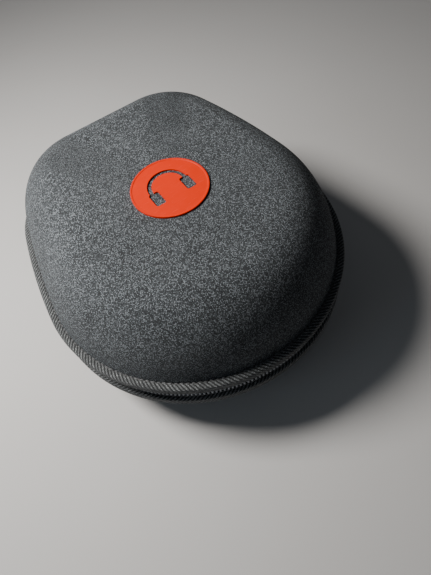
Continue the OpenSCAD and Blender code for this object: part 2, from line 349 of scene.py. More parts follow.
def cut(obj, cutter):
    """Takes a cutter's shape out of a piece, and removes the cutter."""
    modifier = obj.modifiers.new("cut", "BOOLEAN")
    modifier.operation = "DIFFERENCE"
    modifier.object = cutter
    modifier.solver = "EXACT"
    finish_modifiers(obj)
    bpy.data.objects.remove(cutter)


# ---- Materials ----


class Nodes:
    """Short ways to add and join the nodes of one tree."""

    def __init__(self, tree):
        self.tree = tree

    def add(self, kind, inputs=None, **settings):
        node = self.tree.nodes.new(kind)
        for key, value in settings.items():
            setattr(node, key, value)
        for key, value in (inputs or {}).items():
            self.feed(node.inputs[key], value)
        return node

    def feed(self, socket, value):
        if isinstance(value, bpy.types.NodeSocket):
            self.tree.links.new(value, socket)
        else:
            socket.default_value = value

    def math(self, operation, a, b=0.0, c=None, clamp=False):
        node = self.add("ShaderNodeMath", {0: a, 1: b}, operation=operation, use_clamp=clamp)
        if c is not None:
            self.feed(node.inputs[2], c)
        return node.outputs[0]

    def noise(self, vector, scale, detail=3.0, roughness=0.55):
        return self.add("ShaderNodeTexNoise", {"Vector": vector, "Scale": scale, "Detail": detail,
                                               "Roughness": roughness}).outputs["Fac"]

    def ramp(self, factor, low, high):
        node = self.add("ShaderNodeMapRange", {"Value": factor, "From Min": low, "From Max": high})
        return node.outputs["Result"]

    def mix(self, factor, a, b):
        node = self.tree.nodes.new("ShaderNodeMix")
        node.data_type = "RGBA"
        self.feed(node.inputs[0], factor)
        self.feed(node.inputs[6], a if isinstance(a, bpy.types.NodeSocket) else (*a, 1.0))
        self.feed(node.inputs[7], b if isinstance(b, bpy.types.NodeSocket) else (*b, 1.0))
        return node.outputs[2]


def new_group(name, inputs, outputs):
    """An empty shader node group with its sockets: the tree, its nodes, and its input and output node."""
    tree = bpy.data.node_groups.new(name, "ShaderNodeTree")
    for socket, kind, value in inputs:
        item = tree.interface.new_socket(name=socket, in_out="INPUT", socket_type=kind)
        if value is not None:
            item.default_value = value
    for socket, kind in outputs:
        tree.interface.new_socket(name=socket, in_out="OUTPUT", socket_type=kind)
    nodes = Nodes(tree)
    return tree, nodes, nodes.add("NodeGroupInput"), nodes.add("NodeGroupOutput")


def woven_threads():
    """Crossing threads: the cloth's height, which of the two threads lies on top, and a shade for each
    crossing. Repeat 2 is a plain weave, and 4 is a twill with its slanting lines."""
    tree, n, given, out = new_group(
        "woven_threads",
        [("Vector", "NodeSocketVector", None), ("Pitch", "NodeSocketFloat", 0.0005),
         ("Repeat", "NodeSocketFloat", 2.0)],
        [("Height", "NodeSocketFloat"), ("Warp", "NodeSocketFloat"), ("Shade", "NodeSocketFloat")])
    parts = n.add("ShaderNodeSeparateXYZ", {0: given.outputs["Vector"]})
    across = n.math("DIVIDE", parts.outputs[0], given.outputs["Pitch"])
    along = n.math("DIVIDE", parts.outputs[1], given.outputs["Pitch"])
    bulge_x = n.math("ABSOLUTE", n.math("SINE", n.math("MULTIPLY", across, math.pi)))
    bulge_y = n.math("ABSOLUTE", n.math("SINE", n.math("MULTIPLY", along, math.pi)))
    cell = n.math("ADD", n.math("FLOOR", across), n.math("FLOOR", along))
    place = n.math("FLOORED_MODULO", cell, given.outputs["Repeat"])
    warp = n.math("LESS_THAN", place, n.math("MULTIPLY", given.outputs["Repeat"], 0.5))
    arch_x = n.math("MULTIPLY_ADD", bulge_x, 0.4, 0.6)
    arch_y = n.math("MULTIPLY_ADD", bulge_y, 0.4, 0.6)
    over = n.math("MULTIPLY", n.math("MULTIPLY", bulge_x, arch_y), warp)
    under = n.math("MULTIPLY", n.math("MULTIPLY", bulge_y, arch_x), n.math("SUBTRACT", 1.0, warp))
    n.feed(out.inputs["Height"], n.math("ADD", over, under))
    n.feed(out.inputs["Warp"], warp)
    crossing = n.add("ShaderNodeCombineXYZ", {0: n.math("FLOOR", across), 1: n.math("FLOOR", along)})
    shade = n.add("ShaderNodeTexWhiteNoise", {"Vector": crossing.outputs[0]})
    n.feed(out.inputs["Shade"], shade.outputs["Value"])
    return tree


def loose_lint():
    """Sparse pale specks of lint and dust."""
    tree, n, given, out = new_group(
        "loose_lint",
        [("Vector", "NodeSocketVector", None), ("Density", "NodeSocketFloat", 300.0),
         ("Share", "NodeSocketFloat", 0.06)],
        [("Mask", "NodeSocketFloat")])
    cells = n.add("ShaderNodeTexVoronoi",
                  {"Vector": given.outputs["Vector"], "Scale": given.outputs["Density"]})
    spot = n.ramp(cells.outputs["Distance"], 0.16, 0.06)
    chance = n.add("ShaderNodeSeparateColor", {0: cells.outputs["Color"]}).outputs[0]
    chosen = n.math("LESS_THAN", chance, given.outputs["Share"])
    n.feed(out.inputs["Mask"], n.math("MULTIPLY", spot, chosen))
    return tree


def handling_wear():
    """Smears and fine scratches that handling leaves on smooth parts."""
    tree, n, given, out = new_group(
        "handling_wear",
        [("Vector", "NodeSocketVector", None), ("Scale", "NodeSocketFloat", 120.0)],
        [("Smear", "NodeSocketFloat"), ("Scratch", "NodeSocketFloat")])
    smear = n.noise(given.outputs["Vector"], given.outputs["Scale"], 4.0, 0.6)
    drawn = n.add("ShaderNodeMapping", {"Vector": given.outputs["Vector"], "Scale": (1.0, 18.0, 6.0),
                                        "Rotation": (0.0, 0.0, 0.7)}).outputs[0]
    lines = n.noise(drawn, n.math("MULTIPLY", given.outputs["Scale"], 1.6), 2.0, 0.5)
    n.feed(out.inputs["Smear"], smear)
    n.feed(out.inputs["Scratch"], n.ramp(lines, 0.64, 0.70))
    return tree


GROUPS = {}
MATERIALS = {}


def group(n, maker, inputs):
    """Places a shader node group, which is made the first time that it is asked for."""
    if maker.__name__ not in GROUPS:
        GROUPS[maker.__name__] = maker()
    node = n.tree.nodes.new("ShaderNodeGroup")
    node.node_tree = GROUPS[maker.__name__]
    for key, value in inputs.items():
        n.feed(node.inputs[key], value)
    return node


def new_material(name, **constants):
    """A material whose shader has some constants set: its nodes, its shader and its coordinates."""
    material = bpy.data.materials.new(name)
    material.use_nodes = True
    n = Nodes(material.node_tree)
    shader = material.node_tree.nodes["Principled BSDF"]
    for key, value in constants.items():
        shader.inputs[key.replace("_", " ")].default_value = value
    coordinates = n.add("ShaderNodeTexCoord")
    return material, n, shader, coordinates


def bump(n, shader, height, strength, distance):
    node = n.add("ShaderNodeBump", {"Height": height, "Strength": strength, "Distance": distance})
    n.feed(shader.inputs["Normal"], node.outputs["Normal"])


YARN_NOISE, PATCH_NOISE = 1560.0, 260.0 / 7
LINT_DENSITY, LINT_COLOUR = 330.0, (0.32, 0.32, 0.33)


def cloth(name, dark, light, pitch, repeat=2.0, on_uv=True, depth=0.6, lint=0.0, sheen=0.3,
          turn=0.0, speckle=0.5, ridge=0.0):
    """Cloth woven of yarns that differ a little in shade, with a dusting of lint, and with painted shade in
    the hollows between its threads.
    Speckle is how much the crossings differ in shade, and ridge how far the upper thread stands out, both
    in its bump and in a painted highlight that makes it lighter."""
    material, n, shader, coordinates = new_material(name, Sheen_Weight=sheen, Sheen_Roughness=0.45)
    shader.inputs["Specular IOR Level"].default_value = 0.25
    vector = coordinates.outputs["UV" if on_uv else "Object"]
    if turn:
        vector = n.add("ShaderNodeMapping", {"Vector": vector, "Rotation": (0, 0, turn)}).outputs[0]
    threads = group(n, woven_threads, {"Vector": vector, "Pitch": pitch, "Repeat": repeat})
    yarn = n.noise(vector, YARN_NOISE, 2.0, 0.7)
    patch = n.noise(vector, PATCH_NOISE, 3.0, 0.6)
    crossing = n.math("MULTIPLY_ADD", n.math("POWER", threads.outputs["Shade"], 3.0), 1.4, 0.06)
    shade = n.math("MULTIPLY_ADD", crossing, speckle, n.math("MULTIPLY", yarn, 1.0 - speckle))
    # Painted shade: the colour is darkened where the threads lie low, in the hollows between them.
    shade = n.math("MULTIPLY", n.math("MULTIPLY_ADD", threads.outputs["Height"], 1.1, -0.1), shade)
    # Painted highlight: the upper thread is made lighter by the ridge share, as if lit on its raised top.
    painted_yarn_highlight = n.math("MULTIPLY_ADD", threads.outputs["Warp"], ridge, 1.0 - ridge)
    shade = n.math("MULTIPLY", n.math("MULTIPLY", shade, 1.5), painted_yarn_highlight)
    shade = n.math("MULTIPLY_ADD", patch, 0.12, n.math("SUBTRACT", shade, 0.06), clamp=True)
    colour = n.mix(shade, dark, light)
    height = n.math("MULTIPLY_ADD", yarn, 0.5, threads.outputs["Height"])
    height = n.math("MULTIPLY_ADD", threads.outputs["Warp"], ridge, height)
    if lint:
        specks = group(n, loose_lint, {"Vector": coordinates.outputs["Object"], "Density": LINT_DENSITY,
                                       "Share": lint})
        colour = n.mix(n.math("MULTIPLY", specks.outputs["Mask"], 0.5), colour, LINT_COLOUR)
    n.feed(shader.inputs["Base Color"], colour)
    n.feed(shader.inputs["Roughness"], n.math("MULTIPLY_ADD", yarn, 0.2, 0.74))
    bump(n, shader, height, depth, pitch * 0.45)
    return material


def smooth_part(name, dark, light, roughness, metallic=0.0, coat=0.0, grain=1500.0, grain_depth=0.1,
                shine=0.5):
    """Moulded plastic, rubber or lacquered metal, with its grain and the marks of handling."""
    material, n, shader, coordinates = new_material(
        name, Metallic=metallic, Coat_Weight=coat, Coat_Roughness=0.2)
    shader.inputs["Specular IOR Level"].default_value = shine
    vector = coordinates.outputs["Object"]
    wear = group(n, handling_wear, {"Vector": vector, "Scale": 140.0})
    colour = n.mix(wear.outputs["Smear"], dark, light)
    scratched = [min(1, c * 2 + 0.06) for c in light]
    colour = n.mix(n.math("MULTIPLY", wear.outputs["Scratch"], 0.25), colour, scratched)
    n.feed(shader.inputs["Base Color"], colour)
    dulled = n.math("MULTIPLY_ADD", wear.outputs["Smear"], 0.22, roughness - 0.11)
    n.feed(shader.inputs["Roughness"], dulled)
    bump(n, shader, n.noise(vector, grain, 3.0), grain_depth, 0.0002)
    return material


def net_cloth(name, dark, light):
    """An open knitted net: diagonal cords with see-through eyes."""
    material, n, shader, coordinates = new_material(name, Roughness=0.7, Sheen_Weight=0.2)
    turned = n.add("ShaderNodeMapping",
                   {"Vector": coordinates.outputs["UV"], "Rotation": (0, 0, math.pi / 4)})
    parts = n.add("ShaderNodeSeparateXYZ", {0: turned.outputs[0]})
    cords = []
    for axis in (0, 1):
        wave = n.math("SINE", n.math("MULTIPLY", parts.outputs[axis], math.pi / NET_EYE))
        cords.append(n.math("ABSOLUTE", wave))
    gap = n.math("MINIMUM", cords[0], cords[1])
    solid = n.ramp(gap, 0.42, 0.36)
    n.feed(shader.inputs["Base Color"], n.mix(n.noise(coordinates.outputs["UV"], 1800.0), dark, light))
    n.feed(shader.inputs["Alpha"], solid)
    bump(n, shader, n.math("SUBTRACT", 1.0, gap), 0.6, 0.0003)
    return material


def ribbed_cloth(name, dark, light, pitch):
    """Elastic tape with close ribs that run across it, with painted shade that darkens the grooves between
    them.
    """
    material, n, shader, coordinates = new_material(name, Roughness=0.85, Sheen_Weight=0.25)
    parts = n.add("ShaderNodeSeparateXYZ", {0: coordinates.outputs["Object"]})
    wave = n.math("SINE", n.math("MULTIPLY", parts.outputs[0], 2 * math.pi / pitch))
    rib = n.math("MULTIPLY_ADD", wave, 0.5, 0.5)
    fibre = n.noise(coordinates.outputs["Object"], 2500.0, 2.0)
    # Painted shade: the colour follows the ribs' height, darker in the grooves between them.
    n.feed(shader.inputs["Base Color"], n.mix(n.math("MULTIPLY", rib, fibre), dark, light))
    bump(n, shader, n.math("MULTIPLY_ADD", fibre, 0.4, rib), 0.7, 0.0003)
    return material


def brushed_nap(name, dark, light):
    """Brushed lining whose nap lies in soft streaks."""
    material, n, shader, coordinates = new_material(name, Sheen_Weight=0.55, Sheen_Roughness=0.35)
    streaked = n.add("ShaderNodeMapping",
                     {"Vector": coordinates.outputs["Object"], "Scale": (1.0, 0.3, 1.0)})
    nap = n.noise(streaked.outputs[0], 2600.0, 3.0, 0.7)
    lay = n.noise(coordinates.outputs["Object"], 45.0, 3.0)
    n.feed(shader.inputs["Base Color"], n.mix(n.math("MULTIPLY", nap, lay), dark, light))
    n.feed(shader.inputs["Roughness"], n.math("MULTIPLY_ADD", nap, 0.15, 0.82))
    bump(n, shader, nap, 0.5, 0.0003)
    return material


def material_for(finish):
    """The case's finishes, each made once."""
    look = bpy.context.scene.case_look
    makers = {
        "knit_cover": lambda: cloth("charcoal_knit", tuple(look.knit_dark), tuple(look.knit_light),
                                    look.knit_pitch, lint=0.08, sheen=0.03, depth=1.0, speckle=0.8,
                                    ridge=0.6),
        "woven_binding": lambda: cloth("twill_binding", (0.004, 0.0045, 0.005), (0.42, 0.44, 0.45),
                                       look.binding_pitch, 4.0, depth=1.0, sheen=0.1, lint=0.03,
                                       speckle=0.35, ridge=0.85),
        "zip_tape": lambda: cloth("zip_tape_weave", (0.008, 0.008, 0.009), (0.05, 0.052, 0.056),
                                  0.00055, depth=0.7),
        # The coil's nylon is given a light grey, a painted highlight that stands in for the glints on its
        # loops where they lie in shade.
        "zip_coil": lambda: smooth_part("nylon_coil", (0.2, 0.21, 0.23), (0.42, 0.44, 0.48), 0.28),
        "zip_stop": lambda: smooth_part("moulded_stop", (0.02, 0.02, 0.022), (0.04, 0.04, 0.044), 0.4),
        "thread": lambda: cloth("sewing_thread", (0.03, 0.031, 0.033), (0.3, 0.31, 0.32), 0.00022,
                                4.0, on_uv=False, depth=0.6, turn=0.6),
        "moulded_foam": lambda: smooth_part("grey_foam", (0.05, 0.05, 0.055), (0.09, 0.09, 0.1), 0.85,
                                            grain=900.0, grain_depth=0.4),
        "brushed_lining": lambda: brushed_nap("brushed_tricot", (0.007, 0.007, 0.008), (0.11, 0.112, 0.12)),
        "emblem_red": lambda: smooth_part("red_enamel", tuple(c * 0.88 for c in look.emblem_red),
                                          tuple(look.emblem_red), 0.45, grain=700.0, grain_depth=0.05,
                                          shine=0.12),
        "mesh_net": lambda: net_cloth("pocket_net", (0.05, 0.05, 0.054), (0.17, 0.172, 0.18)),
        "elastic_band": lambda: ribbed_cloth("ribbed_elastic", (0.008, 0.008, 0.009), (0.16, 0.16, 0.17),
                                             0.0016),
        "slider_metal": lambda: smooth_part("black_lacquer", (0.025, 0.025, 0.027), (0.06, 0.06, 0.064),
                                            0.34, metallic=0.7, coat=0.3),
        "grip_rubber": lambda: smooth_part("soft_grip", (0.018, 0.018, 0.02), (0.04, 0.04, 0.043), 0.72,
                                           grain=1800.0, grain_depth=0.3),
    }
    if finish not in MATERIALS:
        MATERIALS[finish] = makers[finish]()
    return MATERIALS[finish]


def repaint(node, finish):
    """Gives a CAD node that keeps its shape a finish."""
    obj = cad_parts[node]
    obj.data.materials.clear()
    obj.data.materials.append(material_for(finish))


def rounded_copy(name, node, finish, rounding, body):
    """Stands in for a hard CAD node, with the same shape and its edges rounded."""
    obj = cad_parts[node].copy()
    obj.data = obj.data.copy()
    obj.name, obj.parent = name, None
    obj.matrix_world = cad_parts[node].matrix_world
    bpy.context.scene.collection.objects.link(obj)
    activate(obj)
    bpy.ops.object.mode_set(mode="EDIT")
    bpy.ops.mesh.select_all(action="SELECT")
    bpy.ops.mesh.remove_doubles(threshold=1e-6)
    bpy.ops.mesh.dissolve_limited(angle_limit=math.radians(1))
    bpy.ops.object.mode_set(mode="OBJECT")
    bevel = obj.modifiers.new("round", "BEVEL")
    bevel.width = rounding * MM
    bevel.segments = 3
    bevel.limit_method = "ANGLE"
    bevel.angle_limit = math.radians(40)
    finish_modifiers(obj)
    settle(obj)
    put_on(obj, material_for(finish))
    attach(obj, body)
    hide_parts(node)


# ---- Settings ----


class CaseLook(bpy.types.PropertyGroup):
    """Colours and fine sizes of the case's cloth and zip."""
    knit_dark: bpy.props.FloatVectorProperty(
        name="Knit shadow", description="Darkest yarn of the outer knit", subtype="COLOR",
        default=(0.002, 0.0024, 0.003), min=0, max=1)
    knit_light: bpy.props.FloatVectorProperty(
        name="Knit light", description="Lightest yarn of the outer knit", subtype="COLOR",
        default=(0.37, 0.408, 0.442), min=0, max=1)
    knit_pitch: bpy.props.FloatProperty(
        name="Knit pitch", description="Spacing of the outer knit's yarns", default=0.00042,
        min=0.0002, max=0.002, subtype="DISTANCE", unit="LENGTH")
    binding_pitch: bpy.props.FloatProperty(
        name="Binding pitch", description="Spacing of the binding's yarns", default=0.00052,
        min=0.0003, max=0.002, subtype="DISTANCE", unit="LENGTH")
    emblem_red: bpy.props.FloatVectorProperty(
        name="Emblem", description="Colour of the round emblem", subtype="COLOR",
        default=(0.66, 0.022, 0.0), min=0, max=1)


class CaseSizes(bpy.types.PropertyGroup):
    """Spacings of what repeats along the rim."""
    coil_pitch: bpy.props.FloatProperty(
        name="Coil pitch", description="Spacing of the zip's loops", default=0.002,
        min=0.0012, max=0.004, subtype="DISTANCE", unit="LENGTH")
    stitch_pitch: bpy.props.FloatProperty(
        name="Stitch pitch", description="Spacing of the stitches along the binding", default=0.0028,
        min=0.0018, max=0.005, subtype="DISTANCE", unit="LENGTH")


# ---- Pieces ----


class CASE_OT_knit_skins(bpy.types.Operator):
    """Draws the outer knit over both shells"""
    bl_idname = "case.knit_skins"
    bl_label = "Knit skins"

    def execute(self, context):
        for side, body in ((LID, "lid"), (BASE, "base")):
            edge = ZIP_Z + side * FLANGE_FAR
            rows = [(LEDGE - FOOT_FLARE, edge + side * COVER_T, 0.0), (LEDGE, edge, 0.0),
                    (LEDGE + COVER_T, edge, 0.0)]
            skin = bowl(f"{body}_knit_skin", 0.0, COVER_T, rows, side)
            put_on(skin, material_for("knit_cover"))
            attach(skin, body)
            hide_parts(f"{body}_cover")
        return {"FINISHED"}


class CASE_OT_linings(bpy.types.Operator):
    """Lines both shells and finishes the foam behind them"""
    bl_idname = "case.linings"
    bl_label = "Linings"

    def execute(self, context):
        outer = COVER_T + FOAM_T
        foam_in, lining_in = LEDGE + outer, LEDGE + outer + LINING_T
        for side, body in ((LID, "lid"), (BASE, "base")):
            rim_z, lip_z = ZIP_Z + side * FLANGE_NEAR, ZIP_Z + side * (FLANGE_NEAR - LINING_T)
            rows = [(foam_in, rim_z, 0.0), (LEDGE, rim_z, 0.0), (LEDGE, lip_z, 0.0),
                    (lining_in - 0.4, lip_z, 0.0), (lining_in, lip_z + side * 0.5, 0.0)]
            lining = bowl(f"{body}_brushed_lining", outer, outer + LINING_T, rows, side)
            put_on(lining, material_for("brushed_lining"))
            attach(lining, body)
            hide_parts(f"{body}_lining")
            repaint(f"{body}_foam_shell", "moulded_foam")
        return {"FINISHED"}


# The folded tape in section, as (inset, height over the zip line): along the ledge with its sewn groove,
# down the outer face, back under the flange with a second groove, and home along the inner face.
BINDING_SECTION = [
    (4.4, 9.3), (3.55, 9.3), (3.3, 9.5), (3.2, 9.85), (2.9, 10.0), (2.3, 9.9), (1.7, 10.0), (0.75, 9.9),
    (0.25, 9.55), (0.0, 8.95), (0.06, 8.0), (0.1, 7.1), (0.06, 6.2), (0.0, 5.4), (0.2, 4.75), (0.7, 4.38),
    (1.4, 4.3), (2.1, 4.36), (2.5, 4.48), (2.9, 4.36), (3.6, 4.3), (3.6, 5.08), (1.6, 5.1), (1.0, 5.25),
    (0.8, 5.8), (0.8, 8.5), (1.0, 9.05), (1.6, 9.2), (4.4, 9.2)]


class CASE_OT_bindings(bpy.types.Operator):
    """Folds a woven tape over each rim and sews it down"""
    bl_idname = "case.bindings"
    bl_label = "Bindings"

    def execute(self, context):
        pitch = context.scene.case_sizes.stitch_pitch / MM
        stitch_l, stitch_w, stitch_h = pitch * 0.62, 0.75, 0.6
        sewn_rows = (("top", 3.55, 9.62), ("under", 2.5, 4.38))
        for side, body in ((LID, "lid"), (BASE, "base")):
            run = stretch(RAIL_START, 2 * HALF_RIM - RAIL_START, RING_SPACING)
            tape = swept(f"{body}_woven_binding", BINDING_SECTION, run, side)
            put_on(tape, material_for("woven_binding"))
            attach(tape, body)
            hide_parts(f"{body}_binding")
            places = stretch(RAIL_START + 2, 2 * HALF_RIM - RAIL_START - 2, pitch)
            for row, inset, height in sewn_rows:
                unit = stitch_unit(stitch_l, stitch_w, stitch_h)
                stitches = repeated(f"{body}_binding_stitches_{row}", unit, places, inset, height, side)
                put_on(stitches, material_for("thread"))
                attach(stitches, body)
        return {"FINISHED"}


class CASE_OT_zip_tapes(bpy.types.Operator):
    """Lays the zip's woven tapes behind the coil"""
    bl_idname = "case.zip_tapes"
    bl_label = "Zip tapes"

    def execute(self, context):
        sewn, turned = FLANGE_NEAR - 0.02, FLANGE_NEAR - TAPE_T
        section = [(0.95, sewn), (0.95, turned), (WEB_OUT - 0.3, turned), (WEB_OUT, turned - 0.3),
                   (WEB_OUT, 0.65), (WEB_OUT + 0.2, 0.5), (WEB_IN - 0.2, 0.5), (WEB_IN, 0.65),
                   (WEB_IN, sewn)]
        for side, body in ((LID, "lid"), (BASE, "base")):
            run = stretch(RAIL_START, 2 * HALF_RIM - RAIL_START, RING_SPACING)
            tape = swept(f"{body}_woven_zip_tape", section, run, side)
            put_on(tape, material_for("zip_tape"))
            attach(tape, body)
            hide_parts(f"{body}_zip_tape")
        return {"FINISHED"}


def coil_loop(stretched):
    """One loop of the coil: a ring of nylon, made longer across the zip by a factor."""
    deselect()
    bpy.ops.mesh.primitive_torus_add(major_segments=10, minor_segments=5, major_radius=0.8 * MM,
                                     minor_radius=0.3 * MM, rotation=(0, math.pi / 2, 0))
    unit = bpy.context.active_object
    bpy.ops.object.transform_apply(location=True, rotation=True, scale=True)
    bpy.ops.object.mode_set(mode="EDIT")
    bpy.ops.mesh.select_all(action="SELECT")
    bpy.ops.transform.resize(value=(1.5, 0.93, stretched))
    bpy.ops.transform.rotate(value=math.radians(20), orient_axis="Z", center_override=(0, 0, 0))
    bpy.ops.object.mode_set(mode="OBJECT")
    return unit


class CASE_OT_zip_coils(bpy.types.Operator):
    """Winds both halves of the closed coil, with the threads that sew them to the tapes"""
    bl_idname = "case.zip_coils"
    bl_label = "Zip coils"

    def execute(self, context):
        pitch = context.scene.case_sizes.coil_pitch / MM
        loop_in, thread_in = 2.55, 1.66
        end = 2 * HALF_RIM - COIL_START
        for side, body, shift in ((LID, "lid", 0.0), (BASE, "base", 0.5)):
            count = int((end - COIL_START) / pitch) - 1
            places = [COIL_START + pitch * (0.5 + i + shift) for i in range(count)]
            clear = [p for p in places if p > SLIDER_END]
            passed = [p for p in places if p <= SLIDER_END]
            meshed = repeated(f"{body}_nylon_coil", coil_loop(1.42), clear, loop_in, 1.62, side)
            parted = repeated(f"{body}_nylon_coil_by_slider", coil_loop(1.12), passed, loop_in, 1.94, side)
            for coil in (meshed, parted):
                put_on(coil, material_for("zip_coil"))
                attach(coil, body)
            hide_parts(f"{body}_zip_coil")
            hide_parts(f"{body}_zip_coil")
            unit = stitch_unit(pitch * 0.95, 0.34, 0.4)
            between = [p + pitch / 2 for p in places[:-1]]
            thread = repeated(f"{body}_coil_thread", unit, between, thread_in, 2.3, side)
            put_on(thread, material_for("thread"))
            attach(thread, body)
            rounded_copy(f"{body}_moulded_stops", f"{body}_zip_stops", "zip_stop", 0.4, body)
        return {"FINISHED"}


class CASE_OT_spine(bpy.types.Operator):
    """Joins the shells with an outer and an inner strip across the spine"""
    bl_idname = "case.spine"
    bl_label = "Fabric spine"

    def execute(self, context):
        steps, inside, half_fold = 24, 0.02, 4
        run = stretch(-RAIL_START, RAIL_START, RING_SPACING)
        strips = [("spine_outer_strip", 0.0, BINDING_T, BAND_H / 2, "knit_cover", "spine_cover"),
                  ("spine_inner_strip", WEB_OUT, WEB_IN, FLANGE_NEAR, "brushed_lining", "spine_lining")]
        for name, outer, inner, high, finish, node in strips:
            levels = [high - 2 * high * i / steps for i in range(steps + 1)]
            section = [(outer + inside, z) for z in levels] + [(inner - inside, z) for z in levels[::-1]]
            strip = swept(name, section, run)
            put_on(strip, material_for(finish))
            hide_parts(node)
            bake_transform(strip)
        for side, body in ((LID, "lid"), (BASE, "base")):
            unit = stitch_unit(2.0, 0.34, 0.45)
            places = stretch(2 - RAIL_START, RAIL_START - 2, 2.8)
            stitches = repeated(f"{body}_spine_stitches", unit, places, 0.02, 8.6, side)
            put_on(stitches, material_for("thread"))
            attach(stitches, body)
        return {"FINISHED"}


def sign_cutters():
    """Solids of a plain pair of headphones: a band over two ear cups."""
    arch_r, arch_w, cup_w, cup_h, lift = 10.2, 2.2, 5.2, 8.6, 1.4
    past_half = 0.12
    centre = Vector((CROWN_C.x, CROWN_C.y + lift))
    steps, low, high = 40, CROWN_Z - 2, CROWN_Z + 3
    vertices, faces = [], []
    for i in range(steps + 1):
        angle = -past_half + (math.pi + 2 * past_half) * i / steps
        for radius in (arch_r, arch_r - arch_w):
            for z in (low, high):
                vertices.append((centre.x + radius * math.cos(angle),
                                 centre.y + radius * math.sin(angle), z))
    for i in range(steps):
        a, b = 4 * i, 4 * i + 4
        faces += [(a, a + 1, b + 1, b), (a + 3, a + 2, b + 2, b + 3), (a + 1, a + 3, b + 3, b + 1),
                  (a + 2, a, b, b + 2)]
    faces += [(0, 2, 3, 1), (4 * steps, 4 * steps + 1, 4 * steps + 3, 4 * steps + 2)]
    arch = new_mesh_object("arch", vertices, faces)
    face_outwards(arch)
    cups = []
    for side in (-1, 1):
        place = (centre.x + side * (arch_r - cup_w / 2 + 0.9), centre.y - cup_h / 2 - 0.1, CROWN_Z + 0.5)
        cups.append(block("cup", (cup_w, cup_h, 5.2), place, 1.0, 4))
    return [arch, *cups]


class CASE_OT_emblem(bpy.types.Operator):
    """Makes the round emblem, with a thin raised edge and a plain headphone sign cut out"""
    bl_idname = "case.emblem"
    bl_label = "Emblem"

    def execute(self, context):
        edge_w, slope_w, sunk = 0.7 * MM, 0.25 * MM, 0.22 * MM
        low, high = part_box("emblem")
        radius = (high.x - low.x) / 2
        deselect()
        bpy.ops.mesh.primitive_cylinder_add(vertices=128, radius=radius, depth=high.z - low.z,
                                            location=(low + high) / 2)
        disc = context.active_object
        disc.name = "emblem_disc"
        bpy.ops.object.transform_apply(location=True, rotation=True, scale=True)
        bpy.ops.object.mode_set(mode="EDIT")
        bpy.ops.mesh.select_all(action="DESELECT")
        shape = bmesh.from_edit_mesh(disc.data)
        for face in shape.faces:
            face.select = face.normal.z > 0.9
        bmesh.update_edit_mesh(disc.data)
        bpy.ops.mesh.inset(thickness=edge_w)
        bpy.ops.mesh.inset(thickness=slope_w)
        bpy.ops.transform.translate(value=(0, 0, -sunk))
        bpy.ops.object.mode_set(mode="OBJECT")
        for cutter in sign_cutters():
            cut(disc, cutter)
        edge = disc.modifiers.new("soft_edge", "BEVEL")
        edge.width = 0.12 * MM
        edge.segments = 2
        edge.limit_method = "ANGLE"
        edge.angle_limit = math.radians(50)
        finish_modifiers(disc)
        settle(disc, 15)
        put_on(disc, material_for("emblem_red"))
        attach(disc, "lid")
        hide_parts("emblem")
        return {"FINISHED"}


def half_width_at(y, inset):
    """Half the width of the outline, moved in by an inset, at a distance y along the case."""
    best = None
    for s in stretch(0, HALF_RIM, 0.5):
        point, normal = rim(s)
        p = point - normal * inset
        if best is None or abs(p.y - y) < best[0]:
            best = (abs(p.y - y), p.x)
    return best[1]


class CASE_OT_pocket(bpy.types.Operator):
    """Hangs the net pocket under the lid's roof, with its ribbed elastic hem"""
    bl_idname = "case.pocket"
    bl_label = "Net pocket"

    def execute(self, context):
        across, rows = 36, 30
        deepest, gathered, folds, gap = 2.6, 0.25, 30, 0.3
        nose = -SPINE_Y + POCKET_INSET
        hem_edge = HEM_Y - HEM_W
        vertices, uvs, faces, widths = [], [], [], []
        for i in range(rows + 1):
            y = nose + gap + (hem_edge - nose - gap) * (i / rows) ** 1.25
            half = max(1.0, half_width_at(y, POCKET_INSET))
            widths.append((y, half))
            for j in range(across + 1):
                t = 2 * j / across - 1
                sag = deepest * (1 - t * t) * math.sin(math.pi * (0.08 + 0.72 * i / rows))
                gather = gathered * math.sin(folds * t) * (i / rows) ** 4
                vertices.append((t * half, y, POCKET_Z + gap - sag + gather))
                uvs.append((t * half * MM, y * MM))
        step = across + 1
        for i in range(rows):
            for j in range(across):
                a = i * step + j
                faces.append((a, a + 1, a + 1 + step, a + step))
        net = new_mesh_object("pocket_net", vertices, faces, uvs)
        settle(net, 60)
        put_on(net, material_for("mesh_net"))
        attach(net, "lid")
        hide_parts("pocket_mesh")
        low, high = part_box("pocket_elastic")
        hem = block("pocket_hem", ((high.x - low.x) / MM - 0.4, HEM_W, HEM_T),
                    (0, HEM_Y - HEM_W / 2, POCKET_Z + gap), 0.7, 3)
        put_on(hem, material_for("elastic_band"))
        settle(hem, 40)
        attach(hem, "lid")
        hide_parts("pocket_elastic")
        return {"FINISHED"}


class CASE_OT_slider(bpy.types.Operator):
    """Finishes the zip's slider, its bail and the pull tab"""
    bl_idname = "case.slider"
    bl_label = "Slider"

    def execute(self, context):
        rounded_copy("slider_plates", "slider_body", "slider_metal", 0.25, "slider")
        rounded_copy("slider_loop", "slider_bail", "slider_metal", 0.3, "slider")
        rounded_copy("pull_plate", "pull_tab", "slider_metal", 0.3, "pull")
        return {"FINISHED"}


